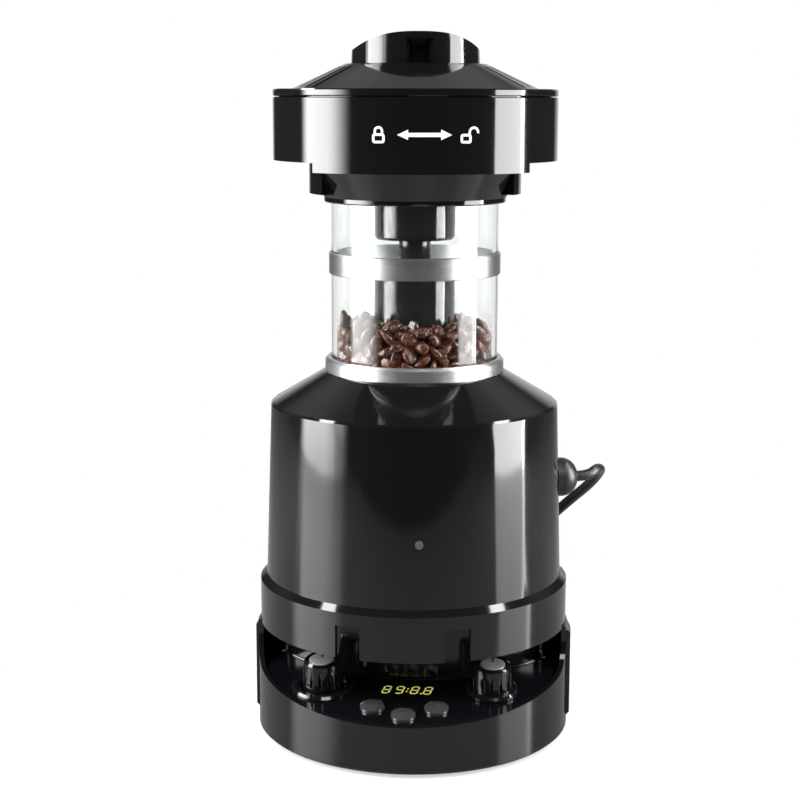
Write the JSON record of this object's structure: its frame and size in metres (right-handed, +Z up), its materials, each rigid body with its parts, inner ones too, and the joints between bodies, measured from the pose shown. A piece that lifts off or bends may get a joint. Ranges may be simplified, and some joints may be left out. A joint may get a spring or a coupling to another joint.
{
  "type": "home coffee bean roaster",
  "caption": "Countertop coffee bean roaster: glass roasting chamber with a stirrer between a twist-lock vented cap and a round base with sloping controls and mains cord.",
  "frame": {"origin": "middle of the base circle on the table", "axes": "+Z up along the roaster's axis, controls towards -Y, cord gland towards +X"},
  "size_m": [0.1896, 0.2753, 0.3702],
  "materials": {
    "gloss_black": "polished",
    "satin_black": "satin",
    "panel_black": "polished",
    "steel": "brushed",
    "drum_black": "gloss",
    "glass": "clear",
    "window": "polished",
    "rubber": "matte",
    "silicone": "matte",
    "light_grey": "satin",
    "board_green": "satin",
    "motor_steel": "satin",
    "galvanised": "satin",
    "heater": "matte",
    "brass": "satin",
    "screw": "bright",
    "white_plastic": "satin",
    "cord_black": "satin"
  },
  "bodies": {
    "base": {"base_tray": "gloss_black", "bottom_cover": "satin_black", "feet": "rubber", "rear_cover": "gloss_black", "base_ring": "gloss_black", "control_panel": "panel_black", "display_window": "window", "display_module": "satin_black", "control_board": "board_green", "button_switches": "satin_black", "dial_ring": "gloss_black", "left_encoder": "motor_steel", "right_encoder": "motor_steel", "main_housing": "gloss_black", "indicator_dot": "light_grey", "chamber_socket": "satin_black", "plenum": "galvanised", "heater_element": "heater", "thermal_cutout": "white_plastic", "air_duct": "galvanised", "blower_scroll": "satin_black", "blower_motor": "motor_steel", "gear_motor": "motor_steel", "deck_plate": "satin_black", "deck_screws": "screw", "power_board": "board_green", "strain_relief": "rubber", "cord": "cord_black", "cord_coil": "cord_black", "plug": "cord_black"},
    "left_knob_body": {"left_knob": "gloss_black", "left_knob_shaft": "brass"},
    "right_knob_body": {"right_knob": "gloss_black", "right_knob_shaft": "brass"},
    "left_button_body": {"left_button": "gloss_black"},
    "middle_button_body": {"middle_button": "gloss_black"},
    "right_button_body": {"right_button": "gloss_black"},
    "impeller_body": {"impeller": "satin_black"},
    "drive_dog_body": {"drive_dog": "motor_steel"},
    "chamber": {"low_ring": "steel", "roast_plate": "steel", "glass_tube": "glass", "mid_band": "steel"},
    "stirrer": {"stirrer_column": "drum_black", "stirrer_shaft": "drum_black", "stirrer_paddles": "steel"},
    "cap": {"cap_cup": "gloss_black", "upper_column": "drum_black", "cap_gasket": "silicone"},
    "lock_band_body": {"lock_band": "gloss_black", "chaff_filter": "steel"},
    "lid": {"chaff_lid": "gloss_black", "lid_knob": "gloss_black"}
  },
  "joints": [
    {"name": "chamber_lift", "type": "slide", "parent": "base", "child": "chamber", "axis": [0, 0, 1], "range_m": [0, 0.06]},
    {"name": "stirrer_spin", "type": "hinge", "parent": "chamber", "child": "stirrer", "pos_m": [0, 0, 0.186], "axis": [0, 0, 1], "continuous": true},
    {"name": "drive_dog_spin", "type": "hinge", "parent": "base", "child": "drive_dog_body", "pos_m": [0, 0, 0.16], "axis": [0, 0, 1], "continuous": true},
    {"name": "impeller_spin", "type": "hinge", "parent": "base", "child": "impeller_body", "pos_m": [0, 0, 0.099], "axis": [0, 0, 1], "continuous": true},
    {"name": "cap_lift", "type": "slide", "parent": "chamber", "child": "cap", "axis": [0, 0, 1], "range_m": [0, 0.06]},
    {"name": "lock_twist", "type": "hinge", "parent": "cap", "child": "lock_band_body", "pos_m": [0, 0, 0.306], "axis": [0, 0, 1], "range_deg": [-18, 18]},
    {"name": "lid_lift", "type": "slide", "parent": "lock_band_body", "child": "lid", "axis": [0, 0, 1], "range_m": [0, 0.04]},
    {"name": "left_knob_turn", "type": "hinge", "parent": "base", "child": "left_knob_body", "pos_m": [-0.0445, -0.0435, 0.03334], "axis": [0, -0.1736, 0.9848], "range_deg": [-140, 140]},
    {"name": "right_knob_turn", "type": "hinge", "parent": "base", "child": "right_knob_body", "pos_m": [0.0445, -0.0435, 0.03334], "axis": [0, -0.1736, 0.9848], "range_deg": [-140, 140]},
    {"name": "left_button_press", "type": "slide", "parent": "base", "child": "left_button_body", "axis": [0, 0.1736, -0.9848], "range_m": [0, 0.0015], "stiffness_N_per_m": 300},
    {"name": "middle_button_press", "type": "slide", "parent": "base", "child": "middle_button_body", "axis": [0, 0.1736, -0.9848], "range_m": [0, 0.0015], "stiffness_N_per_m": 300},
    {"name": "right_button_press", "type": "slide", "parent": "base", "child": "right_button_body", "axis": [0, 0.1736, -0.9848], "range_m": [0, 0.0015], "stiffness_N_per_m": 300}
  ],
  "couplings": [
    {"joint": "drive_dog_spin", "follows": "stirrer_spin", "ratio": 1}
  ]
}
